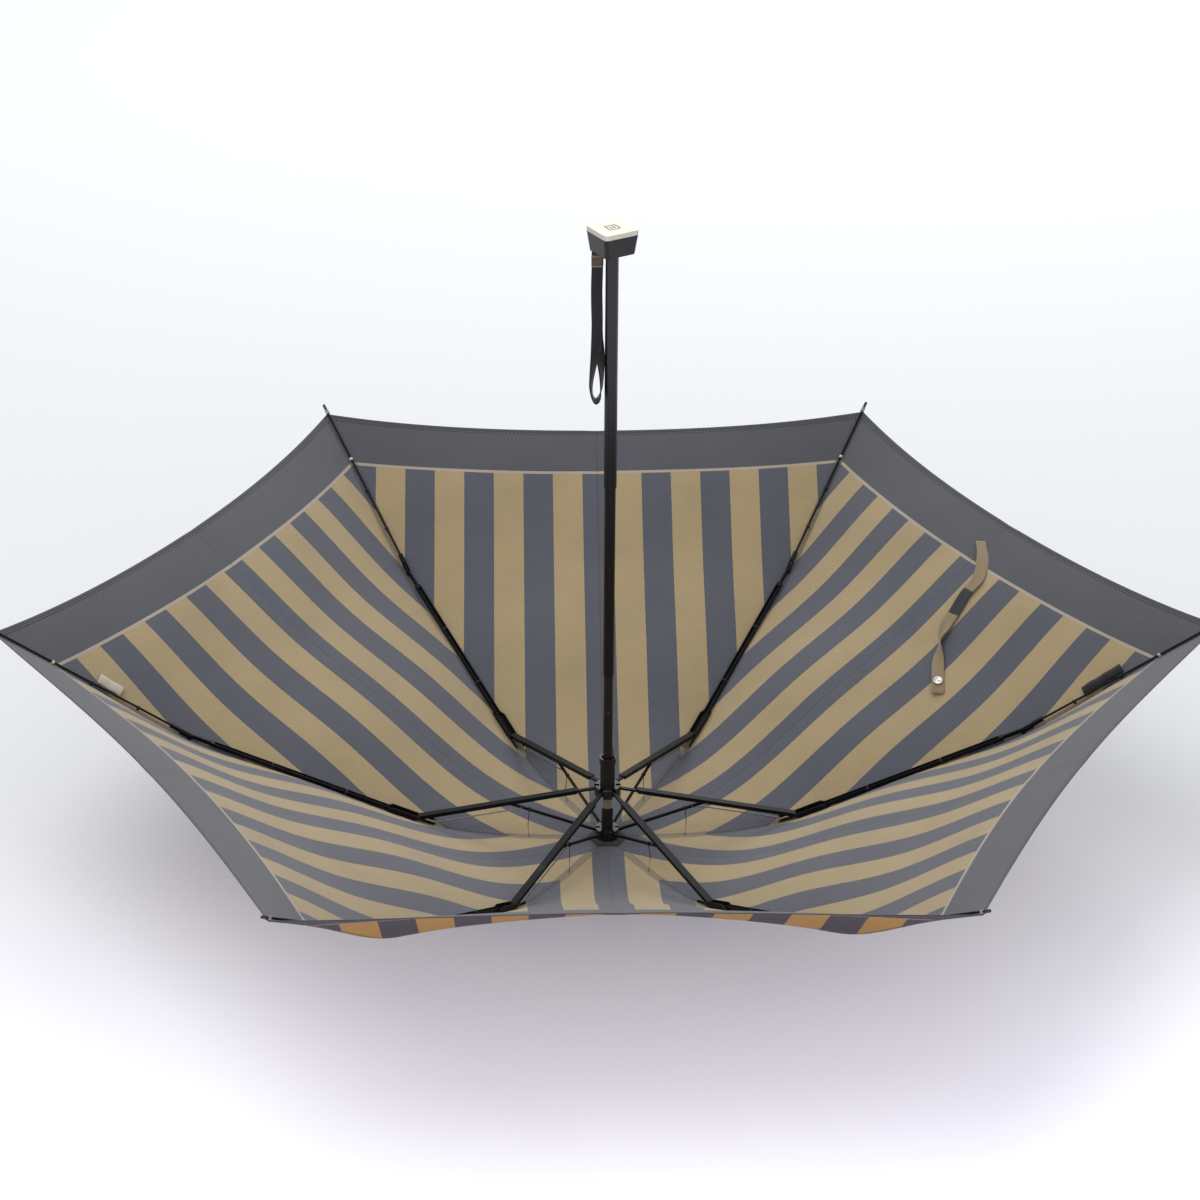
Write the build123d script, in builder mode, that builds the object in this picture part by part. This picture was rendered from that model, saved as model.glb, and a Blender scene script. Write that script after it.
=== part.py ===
"""Three-fold compact umbrella, open, standing on its ferrule with the handle up.

Millimetres. Z is up along the shaft, the origin is the centre of the ferrule's flat end, and rib 1 points
along +X. Rib profiles are drawn in the XZ plane as (distance along the member, height over its pivot line).
"""
import os
from math import acos, cos, degrees, radians, sin, tan

from build123d import *

os.makedirs("parts", exist_ok=True)

# ---- driving dimensions -------------------------------------------------------------------------------
ribs = 6
crown_z = 20.0  # height of the top ribs' pivots over the ferrule's end

crown_r = 7.0  # pivot radius at the crown
runner_r = 9.4  # pivot radius at the runner
top_length = 74.0
top_angle = 20.0  # top rib's slope with the umbrella open
stretcher_angle = 10.3  # its fall from the runner to the elbow
stretcher_outer = 68.5  # middle pivot to elbow
middle_length = 186.0
middle_angle = 23.4
outer_length = 176.0
outer_angle = 32.7
link_arm = 12.0  # lever of the link wire at both ends

pin_r = 0.6
pin_clearance = 0.06
side_clearance = 0.3
top_rib_width = 1.6
top_rib_height = 2.0
boss_r = 1.1
tongue_width = 1.4
tongue_r = 0.8
tongue_length = 14.0
runner_tongue = 2.8  # width of the stretcher's end in the runner
channel_width = 5.2
sheet_metal = 0.5
channel_over = 1.9  # top of the stretcher's web over the pivot line
channel_under = 1.2
elbow_r = 1.9
fork_length = 28.0
fork_wall = 0.6
fork_depth = 2.8
middle_width = 4.0
middle_top = 0.4
tip_tongue = 16.0  # flat end of the middle rib at the outer hinge
outer_pivot_drop = 2.6
wire_lift = 1.8  # outer wire's height over its pivot
outer_wire_r = 0.85
link_wire_r = 0.5
fitting_width = 3.0
fitting_length = 18.0
knob_r = 1.6
knob_length = 10.0
rivet_head_r = 1.2
rivet_head = 0.4

inner_tube_r = 3.55
middle_tube_r = 4.1
outer_tube_r = 4.7
tube_wall = 0.45
slide_clearance = 0.1
inner_step = 136.5  # where the middle tube starts, over the crown's pivots
outer_step = 291.5  # where the outer tube starts
handle_base = 474.5
tube_overlap = 12.0
tube_socket = 8.0

sleeve_r = 4.4
sleeve_top = 21.0
hub_r = 9.0
hub_top = 3.0
hub_bottom = -5.0
ring_wire_r = 0.45

runner_wall = 0.9
runner_hub_r = 10.2
runner_hub_under = 5.0
runner_hub_over = 3.0
collar_base = 23.0
collar_height = 4.5
collar_r = 6.4
runner_ring_r = 7.3

catch_width = 1.2
catch_reach = 5.4
catch_gap = 0.5
catch_height = 14.0
catch_arm = 39.0

handle_side = 28.0
handle_foot = 24.5
handle_turn = 30.0
body_height = 14.5
plate_height = 3.5
emblem_side = 9.0
emblem_depth = 0.6

cloth = 0.6
cloth_hole_r = 4.4
cloth_gap = 0.5
hem_sag = 0.05
saddle = 17.0  # lift of the cloth between two ribs, at two thirds of the way to the hem
rosette_r = 16.0
rosette_thick = 0.4
ribbon_width = 10.0
ribbon_thick = 1.0
snap_r = 3.6
snap_height = 2.0
label_width = 8.0
label_thick = 0.5
label_lift = 3.0
ribbon_lift = 4.2
ferrule_r = 7.5
ferrule_foot = 6.8  # radius of the flat end
ferrule_bore = 6.0

strap_width = 8.0
strap_thick = 1.2
strap_length = 116.0
strap_offset = 9.7
strap_loop = 5.0

# ---- derived places (radius, height) of the open linkage ------------------------------------------------
def along(start, angle, distance):
    return (start[0] + distance * cos(radians(angle)), start[1] + distance * sin(radians(angle)))


crown_pivot = (crown_r, crown_z)
middle_pivot = along(crown_pivot, top_angle, top_length)
link_pivot = along(crown_pivot, top_angle, top_length - link_arm)
stretcher_inner = (middle_pivot[0] - runner_r) / cos(radians(stretcher_angle))
runner_pivot = along(middle_pivot, 180 - stretcher_angle, stretcher_inner)
elbow = along(middle_pivot, -stretcher_angle, stretcher_outer)
stub_pivot = along(elbow, top_angle + 180, link_arm)
outer_pivot = along(along(elbow, middle_angle, middle_length), middle_angle - 90, outer_pivot_drop)
stretcher_length = stretcher_inner + stretcher_outer


def side_plane(start, angle, lateral=0.0):
    """Sketch plane of a rib member: x runs along it, y points to its handle side."""
    return Plane(
        origin=(start[0], lateral, start[1]),
        x_dir=(cos(radians(angle)), 0, sin(radians(angle))),
        z_dir=(0, -1, 0),
    )


def save(part, name):
    part.label = name
    export_step(part, f"parts/{name}.step")


def save_ribs(part, name):
    for index in range(ribs):
        save(part.rotate(Axis.Z, index * 360 / ribs), f"{name}_{index + 1}")


# ---- top rib --------------------------------------------------------------------------------------------
with BuildPart() as top_rib:
    with BuildSketch(side_plane(crown_pivot, top_angle)):
        with Locations((top_length / 2, 0)):
            Rectangle(top_length, top_rib_height)
        with Locations((0, 0), (top_length - link_arm, 0), (top_length, 0)):
            Circle(boss_r)
        with Locations((0, 0)):
            Circle(ring_wire_r + pin_clearance, mode=Mode.SUBTRACT)
        with Locations((top_length - link_arm, 0)):
            Circle(link_wire_r + pin_clearance, mode=Mode.SUBTRACT)
        with Locations((top_length, 0)):
            Circle(pin_r + pin_clearance, mode=Mode.SUBTRACT)
    extrude(amount=top_rib_width / 2, both=True)
save_ribs(top_rib.part, "top_rib")

# ---- stretcher: a channel open to the cloth, with a flat tongue into the runner ---------------------------
with BuildPart() as stretcher:
    with BuildSketch(side_plane(runner_pivot, -stretcher_angle)):
        with Locations(((tongue_length + stretcher_length) / 2, (channel_over - channel_under) / 2)):
            Rectangle(stretcher_length - tongue_length, channel_over + channel_under)
        with Locations((stretcher_length, 0)):
            Circle(elbow_r)
    extrude(amount=channel_width / 2, both=True)
    with BuildSketch(side_plane(runner_pivot, -stretcher_angle)):
        with Locations((stretcher_length, (channel_over - sheet_metal) / 2 - channel_under)):
            Rectangle(2 * stretcher_length, channel_over - sheet_metal + 2 * channel_under)
    extrude(amount=channel_width / 2 - sheet_metal, both=True, mode=Mode.SUBTRACT)
    with BuildSketch(side_plane(runner_pivot, -stretcher_angle)):
        with BuildLine():
            tongue_end = tongue_length + 5
            Line((0, -tongue_r), (tongue_end, -tongue_r))
            Line((tongue_end, -tongue_r), (tongue_end, channel_over))
            Line((tongue_end, channel_over), (tongue_length, channel_over))
            Line((tongue_length, channel_over), (tongue_length - 2, tongue_r))
            Line((tongue_length - 2, tongue_r), (0, tongue_r))
            CenterArc((0, 0), tongue_r, 90, 180)
        make_face()
    extrude(amount=runner_tongue / 2, both=True)
    with BuildSketch(side_plane(runner_pivot, -stretcher_angle)):
        with Locations((stretcher_inner, 0), (stretcher_length, 0)):
            Circle(pin_r)
    extrude(amount=channel_width, both=True, mode=Mode.SUBTRACT)
save_ribs(stretcher.part, "stretcher")

# ---- rivets at the middle pivot and the elbow ---------------------------------------------------------------
fork_inside = channel_width / 2 + side_clearance
fork_outside = fork_inside + fork_wall
with BuildPart() as rivets:
    for reach, half in ((stretcher_inner, channel_width / 2), (stretcher_length, fork_outside + 0.1)):
        with BuildSketch(side_plane(runner_pivot, -stretcher_angle)):
            with Locations((reach, 0)):
                Circle(pin_r)
        extrude(amount=half + rivet_head / 2, both=True)
        for side in (-1, 1):
            with BuildSketch(side_plane(runner_pivot, -stretcher_angle, side * (half + rivet_head / 2))):
                with Locations((reach, 0)):
                    Circle(rivet_head_r)
            extrude(amount=rivet_head / 2, both=True)
save_ribs(rivets.part, "rivets")

# ---- link wire: parallel to the stretcher, hooked into the top rib and the middle rib's stub ------------------
link_side = (top_rib_width / 2 + channel_width / 2 - sheet_metal) / 2
with BuildPart() as link_wire:
    with BuildSketch(
        Plane(
            origin=(link_pivot[0], link_side, link_pivot[1]),
            z_dir=(cos(radians(stretcher_angle)), 0, -sin(radians(stretcher_angle))),
        )
    ):
        Circle(link_wire_r)
    extrude(amount=stretcher_outer)
    hook_ends = ((link_pivot, -top_rib_width / 2 - 0.4, link_side), (stub_pivot, link_side, fork_outside + 0.4))
    for place, low, high in hook_ends:
        with BuildSketch(side_plane(place, 0, low)):
            Circle(link_wire_r)
        extrude(amount=low - high)
save_ribs(link_wire.part, "link_wire")

# ---- middle rib: fork at the elbow, channel, flat tongue at the outer hinge ------------------------------------
web_r = elbow_r + 1.1
channel_end = middle_length - tip_tongue
with BuildPart() as middle_rib:
    for side in (-1, 1):
        with BuildSketch(side_plane(elbow, middle_angle, side * (fork_inside + fork_wall / 2))):
            with BuildLine():
                Line((0, middle_top + 1), (fork_length - 6, middle_top + 1))
                Line((fork_length - 6, middle_top + 1), (fork_length, -fork_depth + fork_wall))
                Line((fork_length, -fork_depth + fork_wall), (fork_length, -fork_depth))
                Line((fork_length, -fork_depth), (web_r, -fork_depth))
                Line((web_r, -fork_depth), (0, -1.4))
                Line((0, -1.4), (0, middle_top + 1))
            make_face()
            Circle(middle_top + 1)
            with Locations(Location((0, 0), top_angle - middle_angle + 180)):
                with Locations((link_arm / 2, 0)):
                    Rectangle(link_arm, 2 * boss_r)
                with Locations((link_arm, 0)):
                    Circle(boss_r)
                    Circle(link_wire_r + pin_clearance, mode=Mode.SUBTRACT)
            Circle(pin_r + pin_clearance, mode=Mode.SUBTRACT)
        extrude(amount=fork_wall / 2, both=True)
    with BuildSketch(side_plane(elbow, middle_angle)):
        with Locations(((web_r + fork_length) / 2, -fork_depth + fork_wall / 2)):
            Rectangle(fork_length - web_r, fork_wall)
    extrude(amount=fork_outside, both=True)
    with BuildSketch(side_plane(elbow, middle_angle)):
        with Locations(((fork_length - 4 + channel_end) / 2, (middle_top - fork_depth) / 2)):
            Rectangle(channel_end - fork_length + 4, middle_top + fork_depth)
    extrude(amount=middle_width / 2, both=True)
    with BuildSketch(side_plane(elbow, middle_angle)):
        with Locations(((fork_length - 4 + channel_end) / 2 - 3, middle_top)):
            Rectangle(channel_end - fork_length + 4, 2 * (middle_top + fork_depth - fork_wall))
    extrude(amount=middle_width / 2 - sheet_metal, both=True, mode=Mode.SUBTRACT)
    with BuildSketch(side_plane(elbow, middle_angle)):
        with Locations(((channel_end - 3 + middle_length) / 2, (middle_top - fork_depth) / 2)):
            Rectangle(tip_tongue + 3, middle_top + fork_depth)
        with Locations((middle_length, -outer_pivot_drop)):
            Circle(pin_r + 1)
    extrude(amount=tongue_width / 2, both=True)
    with BuildSketch(side_plane(outer_pivot, middle_angle)):
        Circle(pin_r)
    extrude(amount=fitting_width / 2, both=True)
save_ribs(middle_rib.part, "middle_rib")

# ---- outer rib: crimped fork fitting and a round wire --------------------------------------------------------
wire_end = outer_length - knob_length + 7
with BuildPart() as outer_rib:
    with BuildSketch(side_plane(outer_pivot, outer_angle)):
        Circle(pin_r + 1)
        with Locations((fitting_length / 4, wire_lift / 2)):
            Rectangle(fitting_length / 2, wire_lift + 1.2)
        with Locations((3 * fitting_length / 4, wire_lift)):
            Rectangle(fitting_length / 2, 2.6)
        Circle(pin_r + pin_clearance, mode=Mode.SUBTRACT)
    extrude(amount=fitting_width / 2, both=True)
    with BuildSketch(side_plane(outer_pivot, outer_angle)):
        Rectangle(fitting_length, 10)
    extrude(amount=tongue_width / 2 + 0.2, both=True, mode=Mode.SUBTRACT)
    wire_start = along(along(outer_pivot, outer_angle + 90, wire_lift), outer_angle, fitting_length - 2)
    with BuildSketch(
        Plane(
            origin=(wire_start[0], 0, wire_start[1]),
            z_dir=(cos(radians(outer_angle)), 0, sin(radians(outer_angle))),
        )
    ):
        Circle(outer_wire_r)
    extrude(amount=wire_end - fitting_length + 2)
save_ribs(outer_rib.part, "outer_rib")

# ---- rib tip ---------------------------------------------------------------------------------------------
tip_start = along(along(outer_pivot, outer_angle + 90, wire_lift), outer_angle, outer_length - knob_length)
tip_plane = Plane(
    origin=(tip_start[0], 0, tip_start[1]), z_dir=(cos(radians(outer_angle)), 0, sin(radians(outer_angle)))
)
with BuildPart() as tip:
    with BuildSketch(tip_plane):
        Circle(knob_r)
    extrude(amount=4)
    with BuildSketch(tip_plane.offset(4)):
        Circle(outer_wire_r + 0.35)
    extrude(amount=knob_length - 4)
    with BuildSketch(tip_plane):
        Circle(outer_wire_r)
    extrude(amount=7, mode=Mode.SUBTRACT)
    fillet(tip.edges().filter_by(GeomType.CIRCLE).sort_by(Axis.Z)[-1], 0.7)
save_ribs(tip.part, "tip")

# ---- crown ------------------------------------------------------------------------------------------------
with BuildPart() as crown_wire:
    with BuildLine() as crown_path:
        ring_corner = Vector(crown_r / cos(radians(180 / ribs)), 0, crown_z).rotate(Axis.Z, 180 / ribs)
        Polyline([ring_corner.rotate(Axis.Z, k * 360 / ribs) for k in range(ribs)], close=True)
    with BuildSketch(Plane(origin=(crown_r, 0, crown_z), x_dir=(1, 0, 0), z_dir=(0, 1, 0))):
        Circle(ring_wire_r)
    sweep(path=crown_path.wires()[0], transition=Transition.RIGHT)
save(crown_wire.part, "crown_wire")

with BuildPart() as crown:
    with BuildSketch(Plane.XY.offset(crown_z + hub_bottom)):
        Circle(hub_r)
    extrude(amount=hub_top - hub_bottom)
    with BuildSketch(Plane.XY.offset(crown_z + hub_top)):
        Circle(sleeve_r)
    extrude(amount=sleeve_top - hub_top)
    with BuildSketch(Plane.XY.offset(crown_z - boss_r - side_clearance)):
        with PolarLocations(hub_r, ribs):
            Rectangle(2 * (hub_r - crown_r + boss_r + side_clearance), top_rib_width + 0.4)
    extrude(amount=hub_top - hub_bottom, mode=Mode.SUBTRACT)
    with BuildSketch(Plane.XY.offset(crown_z + hub_bottom)):
        Circle(inner_tube_r)
    extrude(amount=sleeve_top - hub_bottom, mode=Mode.SUBTRACT)
    add(crown_wire.part, mode=Mode.SUBTRACT)
save(crown.part, "crown")

cloth_base = crown_z + hub_bottom - rosette_thick - cloth_gap - cloth
with BuildPart() as ferrule_cap:
    with BuildSketch(Plane.XZ):
        with BuildLine():
            Line((0, 0), (ferrule_foot, 0))
            Line((ferrule_foot, 0), (ferrule_r, ferrule_r - ferrule_foot))
            Line((ferrule_r, ferrule_r - ferrule_foot), (ferrule_r, cloth_base - cloth_gap))
            Line((ferrule_r, cloth_base - cloth_gap), (0, cloth_base - cloth_gap))
            Line((0, cloth_base - cloth_gap), (0, 0))
        make_face()
    revolve(axis=Axis.Z)
    with BuildSketch(Plane.XY.offset(ferrule_bore)):
        Circle(inner_tube_r)
    extrude(amount=cloth_base, mode=Mode.SUBTRACT)
save(ferrule_cap.part, "ferrule_cap")


# ---- shaft tubes -------------------------------------------------------------------------------------------
def tube(radius, low, high):
    with BuildPart() as pipe:
        with BuildSketch(Plane.XY.offset(low)):
            Circle(radius)
            Circle(radius - tube_wall, mode=Mode.SUBTRACT)
        extrude(amount=high - low)
    return pipe.part


runner_z = runner_pivot[1]
collar_top = runner_z + collar_base + collar_height
catch_base = collar_top + catch_gap
catch_pivot_z = catch_base + catch_arm
handle_z = crown_z + handle_base

with BuildPart() as inner_tube:
    add(tube(inner_tube_r, ferrule_bore, crown_z + inner_step + tube_overlap))
    with BuildSketch(Plane.XY.offset(catch_base - 1)):
        with Locations((inner_tube_r, 0)):
            Rectangle(inner_tube_r, catch_width + 0.4)
    extrude(amount=catch_height + 2.5, mode=Mode.SUBTRACT)
    with BuildSketch(Plane.XZ):
        with Locations((0, catch_pivot_z)):
            Circle(pin_r + pin_clearance)
    extrude(amount=inner_tube_r + 1, both=True, mode=Mode.SUBTRACT)
save(inner_tube.part, "inner_tube")
middle_top_z = crown_z + outer_step + tube_overlap
save(tube(middle_tube_r, crown_z + inner_step, middle_top_z), "middle_tube")
save(tube(outer_tube_r, crown_z + outer_step, handle_z + tube_socket), "outer_tube")

# ---- spring catch: a hinged leaf inside the inner tube -------------------------------------------------------
with BuildPart() as catch_spring:
    with BuildSketch(Plane.XZ):
        with BuildLine():
            Polyline(
                (-1.0, catch_pivot_z), (0.6, catch_base), (catch_reach, catch_base),
                (catch_reach, catch_base + 1.5), (inner_tube_r - 1, catch_base + catch_height),
                (1.0, catch_pivot_z), (-1.0, catch_pivot_z),
            )
        make_face()
        with Locations((0, catch_pivot_z)):
            Circle(1.3)
    extrude(amount=catch_width / 2, both=True)
    with BuildSketch(Plane.XZ):
        with Locations((0, catch_pivot_z)):
            Circle(pin_r)
    extrude(amount=inner_tube_r - 0.1, both=True)
save(catch_spring.part, "catch_spring")

# ---- runner --------------------------------------------------------------------------------------------------
runner_bore = outer_tube_r + slide_clearance
with BuildPart() as runner_wire:
    with BuildSketch(Plane.XZ):
        with Locations((runner_ring_r, runner_z)):
            Circle(ring_wire_r)
    revolve(axis=Axis.Z)
save(runner_wire.part, "runner_wire")

with BuildPart() as runner:
    with BuildSketch(Plane.XY.offset(runner_z - runner_hub_under)):
        Circle(runner_hub_r)
    extrude(amount=runner_hub_under + runner_hub_over)
    fillet(runner.edges().filter_by(GeomType.CIRCLE), 1)
    with BuildSketch(Plane.XY.offset(runner_z - runner_hub_under)):
        with PolarLocations(runner_hub_r, ribs):
            Rectangle(2 * (runner_hub_r - runner_ring_r + 0.9), runner_tongue + 0.5)
    extrude(amount=runner_hub_under + runner_hub_over, mode=Mode.SUBTRACT)
    with BuildSketch(Plane.XY.offset(runner_z - 2)):
        Circle(runner_bore + runner_wall)
    extrude(amount=collar_base + 2)
    with BuildSketch(Plane.XY.offset(runner_z + collar_base)):
        Circle(collar_r)
    extrude(amount=collar_height)
    with BuildSketch(Plane.XY.offset(runner_z - runner_hub_under)):
        Circle(runner_bore)
        with Locations((runner_bore, 0)):
            Rectangle(2 * (catch_reach + 0.35 - runner_bore), catch_width + 0.6)
    extrude(amount=collar_top, mode=Mode.SUBTRACT)
    add(runner_wire.part, mode=Mode.SUBTRACT)
save(runner.part, "runner")

# ---- handle ----------------------------------------------------------------------------------------------------
with BuildPart() as handle_body:
    with BuildSketch(Plane.XY.offset(handle_z)):
        RectangleRounded(handle_foot, handle_foot, 3, rotation=handle_turn)
    with BuildSketch(Plane.XY.offset(handle_z + body_height)):
        RectangleRounded(handle_side, handle_side, 3, rotation=handle_turn)
    loft()
    with BuildSketch(Plane.XY.offset(handle_z)):
        Circle(outer_tube_r)
    extrude(amount=tube_socket, mode=Mode.SUBTRACT)
save(handle_body.part, "handle_body")

with BuildPart() as handle_plate:
    with BuildSketch(Plane.XY.offset(handle_z + body_height)):
        RectangleRounded(handle_side, handle_side, 3, rotation=handle_turn)
    extrude(amount=plate_height)
    with BuildSketch(Plane.XY.offset(handle_z + body_height + plate_height)):
        RectangleRounded(emblem_side, emblem_side, 1, rotation=handle_turn)
        RectangleRounded(emblem_side - 2, emblem_side - 2, 0.6, rotation=handle_turn, mode=Mode.SUBTRACT)
    extrude(amount=-emblem_depth, mode=Mode.SUBTRACT)
save(handle_plate.part, "handle_plate")

# ---- wrist strap: a flat webbing loop hanging from the handle -----------------------------------------------------
strap_mid = strap_loop / 2
with BuildPart() as wrist_strap:
    with BuildSketch(Plane.YZ.offset(-strap_offset - strap_width / 2)):
        with BuildLine():
            low = handle_z - strap_length + strap_mid
            Line((-strap_thick, handle_z - 0.1), (-strap_thick, handle_z - strap_length / 2))
            Line((-strap_thick, handle_z - strap_length / 2), (-strap_mid, low))
            CenterArc((0, low), strap_mid, 180, 180)
            Line((strap_mid, low), (strap_thick, handle_z - strap_length / 2))
            Line((strap_thick, handle_z - strap_length / 2), (strap_thick, handle_z - 0.1))
            Line((strap_thick, handle_z - 0.1), (-strap_thick, handle_z - 0.1))
        make_face()
        with BuildLine():
            Line((-0.1, handle_z - 6), (-0.1, handle_z - strap_length / 2))
            Line((-0.1, handle_z - strap_length / 2), (strap_thick - strap_mid, low))
            CenterArc((0, low), strap_mid - strap_thick, 180, 180)
            Line((strap_mid - strap_thick, low), (0.1, handle_z - strap_length / 2))
            Line((0.1, handle_z - strap_length / 2), (0.1, handle_z - 6))
            Line((0.1, handle_z - 6), (-0.1, handle_z - 6))
        make_face(mode=Mode.SUBTRACT)
    extrude(amount=strap_width)
save(wrist_strap.part, "wrist_strap")

# ---- cloth: gores lofted through the seam curve, on the far side of the ribs from the handle ----------------------
half_gore = radians(180 / ribs)
hinge_cover = pin_r + 1 + 2 * cloth_gap
cloth_top = cloth_base + cloth
knob_seat = knob_r + cloth_gap - wire_lift
seam_points = [
    (cloth_hole_r, cloth_top),
    (hub_r + 9, cloth_top),
    along(stub_pivot, top_angle - 90, boss_r + 5 * cloth_gap),
    along(along(elbow, middle_angle, fork_length), middle_angle - 90, fork_depth + 4 * cloth_gap),
    along(along(elbow, middle_angle, middle_length / 2), middle_angle - 90, fork_depth + 2 * cloth_gap),
    along(outer_pivot, (middle_angle + outer_angle) / 2 - 90, hinge_cover),
    along(along(outer_pivot, outer_angle, outer_length / 2), outer_angle - 90, 0.9),
    along(along(outer_pivot, outer_angle, outer_length - knob_length + 1), outer_angle - 90, knob_seat),
]
with BuildLine() as seam:
    Spline([(r, z) for r, z in seam_points])
seam_edge = seam.edges()[0]


def cloth_point(u, v, lift=0.0):
    """Point of gore 1 (between ribs 1 and 2), u from crown to hem, v from -1 to 1 across the gore."""
    reach = u * (1 - hem_sag * u**4 * (1 - v**2))
    place = seam_edge @ reach
    x = place.X * cos(half_gore)
    y = v * place.X * sin(half_gore)
    z = place.Y + 6.75 * saddle * reach**2 * (1 - reach) * (1 - v**2) + lift
    return Vector(x, y, z).rotate(Axis.Z, degrees(half_gore))


def sheet(grid, thickness):
    """Closed solid between a grid of points and its copy lowered by a thickness."""
    top = Face.make_surface_from_array_of_points(grid, tol=0.02, min_deg=2, max_deg=4)
    bottom = top.moved(Location((0, 0, -thickness)))
    sides = [Face.extrude(edge, (0, 0, -thickness)) for edge in top.edges()]
    return Solid(Shell([top, bottom, *sides]))


gore_grid = [[cloth_point(i / 12, j / 4) for j in range(-4, 5)] for i in range(13)]
gore = sheet(gore_grid, cloth)
canopy = Compound([gore.rotate(Axis.Z, index * 360 / ribs) for index in range(ribs)])
save(canopy, "canopy")

with BuildPart() as rosette:
    with BuildSketch(Plane.XY.offset(crown_z + hub_bottom - rosette_thick - 0.05)):
        RegularPolygon(rosette_r, ribs)
        Circle(cloth_hole_r, mode=Mode.SUBTRACT)
    extrude(amount=rosette_thick)
save(rosette.part, "rosette")


# ---- closure strap on the cloth of gore 1, its snap stud, and two sewn labels ---------------------------------------
def ribbon(route, width, lift, thickness):
    """Strip of cloth laid along a list of (u, v) points of gore 1."""
    line = Spline([cloth_point(u, v, lift) for u, v in route])
    rows = []
    for step in range(9):
        across = (line % (step / 8)).cross(Vector(0, 0, 1)).normalized() * (width / 2)
        rows.append([line @ (step / 8) + across * side for side in (-1, 0, 1)])
    return sheet(rows, thickness)


strap_route = [(0.91, 0.02), (0.84, -0.05), (0.78, -0.1), (0.72, -0.15), (0.64, -0.42)]
closure_strap = ribbon(strap_route, ribbon_width, ribbon_lift, ribbon_thick)
save(closure_strap, "closure_strap")

snap_place = cloth_point(0.66, -0.36, ribbon_lift)
snap_along = (snap_place - cloth_point(0.69, -0.255, ribbon_lift)).normalized()
snap_across = snap_along.cross(Vector(0, 0, 1)).normalized()
with BuildPart() as closure_snap:
    with BuildSketch(Plane(origin=snap_place, x_dir=snap_along, z_dir=snap_across.cross(snap_along)).offset(0.3)):
        Circle(snap_r)
    extrude(amount=snap_height)
save(closure_snap.part, "closure_snap")

dark_label = ribbon([(0.78, -0.963), (0.81, -0.963), (0.84, -0.963)], label_width, label_lift, label_thick)
pale_label = ribbon([(0.79, 0.963), (0.81, 0.963), (0.83, 0.963)], label_width, label_lift, label_thick)
save(Compound([dark_label, pale_label.rotate(Axis.Z, 2 * 360 / ribs)]), "labels")
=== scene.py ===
"""Open three-fold umbrella standing on its ferrule, for Blender. Metres, in the CAD's row frame."""

from math import cos, pi, radians, sin

import bpy
import numpy as np
from mathutils import Matrix, Vector


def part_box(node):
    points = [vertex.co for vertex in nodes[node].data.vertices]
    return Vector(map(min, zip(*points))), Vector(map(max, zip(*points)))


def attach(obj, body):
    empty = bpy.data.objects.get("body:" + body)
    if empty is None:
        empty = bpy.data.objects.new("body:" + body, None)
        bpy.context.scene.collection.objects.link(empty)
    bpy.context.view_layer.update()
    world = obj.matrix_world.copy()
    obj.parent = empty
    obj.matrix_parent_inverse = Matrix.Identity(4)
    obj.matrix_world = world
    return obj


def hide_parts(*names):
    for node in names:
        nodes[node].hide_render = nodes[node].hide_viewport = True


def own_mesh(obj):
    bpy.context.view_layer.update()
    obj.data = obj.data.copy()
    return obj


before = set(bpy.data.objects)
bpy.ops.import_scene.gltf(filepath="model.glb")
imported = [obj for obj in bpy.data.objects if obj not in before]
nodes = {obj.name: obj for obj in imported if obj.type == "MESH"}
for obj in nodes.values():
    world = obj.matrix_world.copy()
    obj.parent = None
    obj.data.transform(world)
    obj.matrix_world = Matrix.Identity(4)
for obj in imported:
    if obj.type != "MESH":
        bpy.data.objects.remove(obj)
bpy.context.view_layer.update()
HALF = pi / 6  # half a gore's angle
MM = 0.001
HEM_SAG = 0.05  # how far the hem bows in between two tips, as a share of the rib
SADDLE = 17 * MM  # lift of the cloth between two ribs, at two thirds of the way to the hem
TIP_PIN = 456.9 * MM  # radius where a rib tip's pale knob ends and its black pin starts
HANDLE_TURN = 30  # degrees between the handle's sides and the X axis
STRAP_X = -10.4  # where the wrist strap hangs, in millimetres from the shaft's axis


# ---- camera, light and floor ---------------------------------------------------------------------
def turn_z(degrees):
    return Matrix.Rotation(radians(degrees), 3, "Z")


camera_data = bpy.data.cameras.new("camera")
camera_data.sensor_width = 36.0
camera_data.lens = 98.2
camera_data.clip_end = 60.0
camera = bpy.data.objects.new("camera", camera_data)
bpy.context.scene.collection.objects.link(camera)
bpy.context.scene.camera = camera
elevation, tilt, yaw, roll = (radians(a) for a in (31.25, -27.23, -0.18, 0.43))
forward = Vector((sin(yaw) * cos(tilt), cos(yaw) * cos(tilt), sin(tilt)))
right = forward.cross(Vector((0, 0, 1))).normalized()
up = right.cross(forward)
right, up = cos(roll) * right + sin(roll) * up, cos(roll) * up - sin(roll) * right
distance, azimuth, aim_height = 2.5235, -1.88, 0.02
place = distance * Vector((0, -cos(elevation), sin(elevation)))
axes = Matrix((right, up, -forward)).transposed()
stand = Matrix.Translation(turn_z(azimuth) @ place + Vector((0, 0, aim_height)))
camera.matrix_world = stand @ (turn_z(azimuth) @ axes).to_4x4()


def area_light(name, location, target, size, power, colour=(1, 1, 1)):
    data = bpy.data.lights.new(name, "AREA")
    data.shape, data.size, data.energy, data.color = "DISK", size, power, colour
    light = bpy.data.objects.new(name, data)
    light.location = location
    light.rotation_euler = (Vector(target) - Vector(location)).to_track_quat("-Z", "Y").to_euler()
    bpy.context.scene.collection.objects.link(light)


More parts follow.
